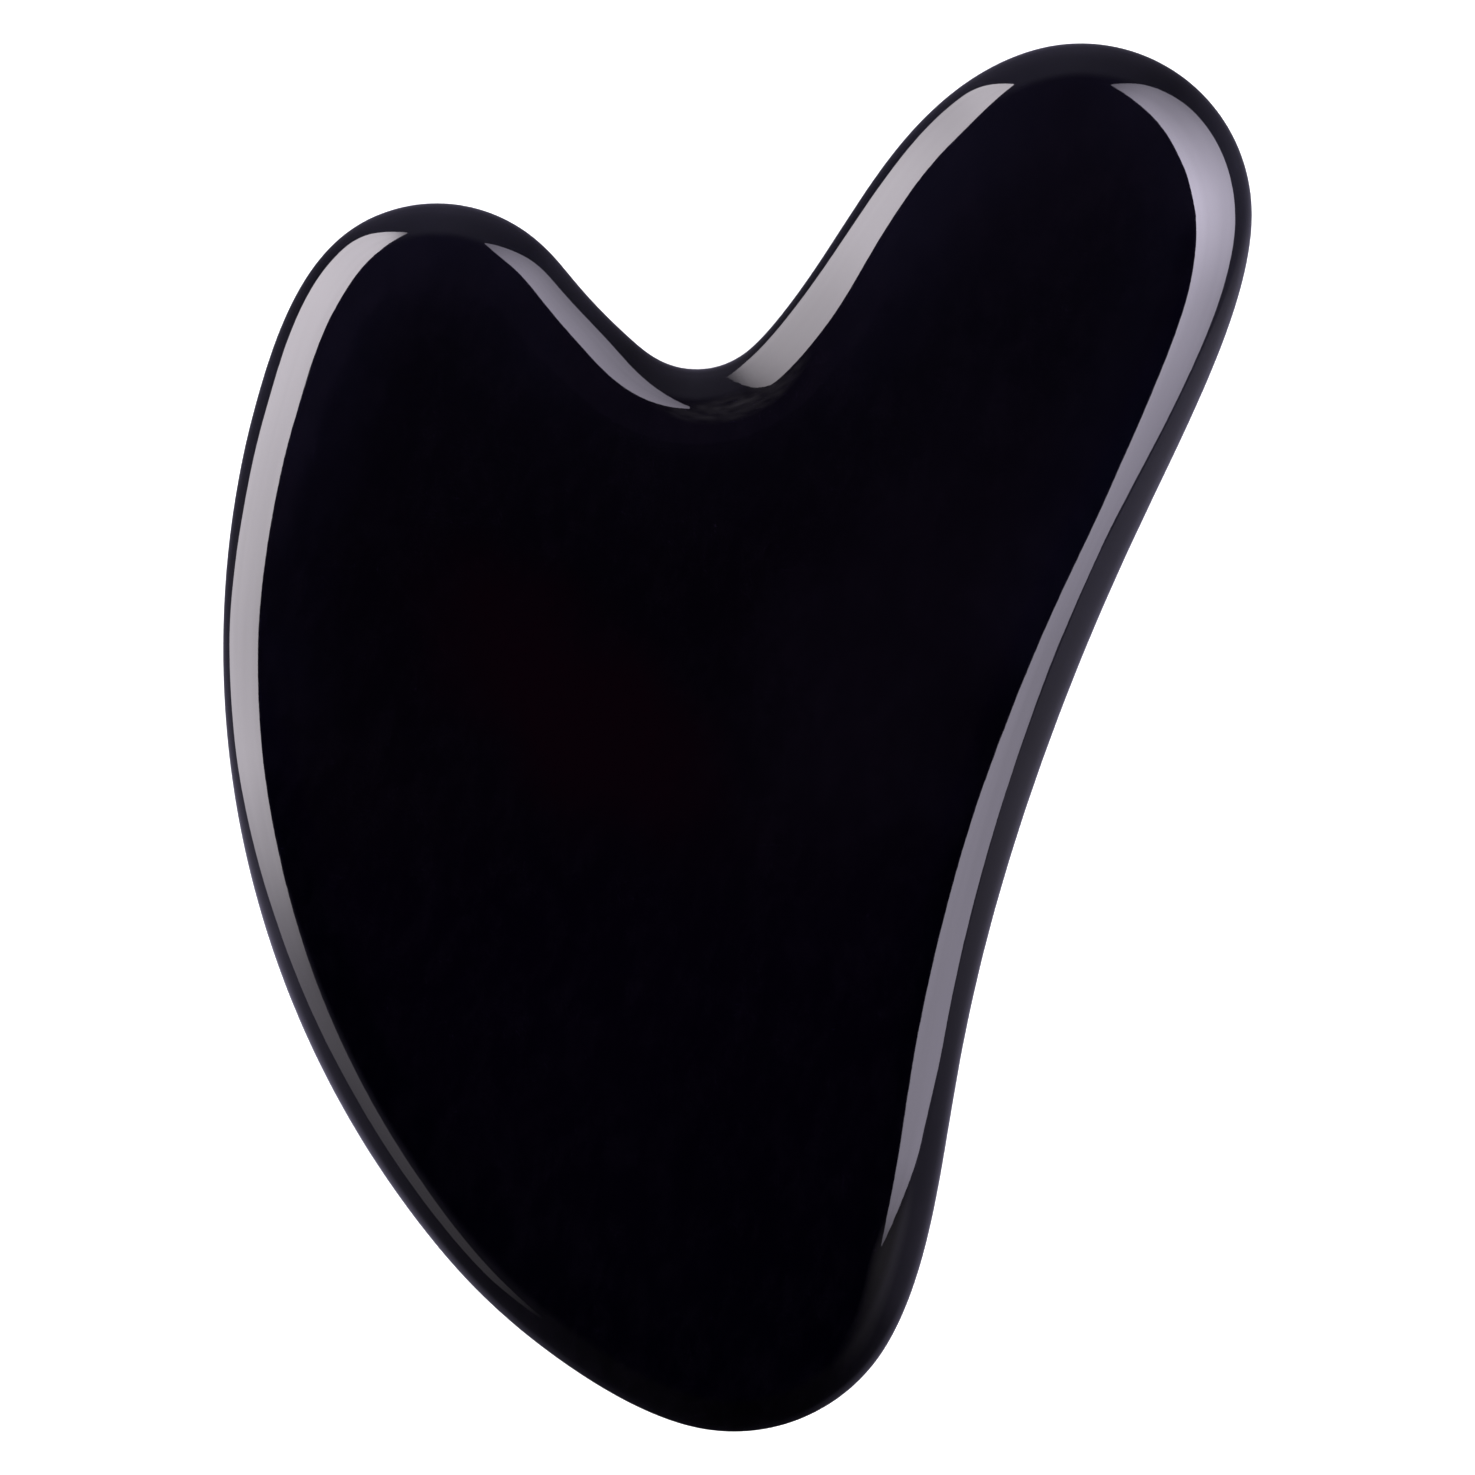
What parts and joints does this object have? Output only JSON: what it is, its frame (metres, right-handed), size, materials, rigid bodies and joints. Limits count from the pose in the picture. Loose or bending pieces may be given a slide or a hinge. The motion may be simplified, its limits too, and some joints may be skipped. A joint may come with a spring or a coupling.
{
  "type": "gua sha scraper",
  "caption": "Heart-shaped gua sha scraper: a flat polished black stone with a long lobe, a short lobe, a notch between them and a rounded edge all the way round.",
  "frame": {"origin": "on the plane of the lower face, in the middle of the scraper's length and width", "axes": "+Y along the length towards the long lobe, +X towards the hollow flank, +Z out of the upper face"},
  "size_m": [0.0527, 0.0844, 0.006],
  "materials": {
    "black_stone": "polished"
  },
  "bodies": {
    "root": {"scraper_body": "black_stone"}
  },
  "joints": []
}
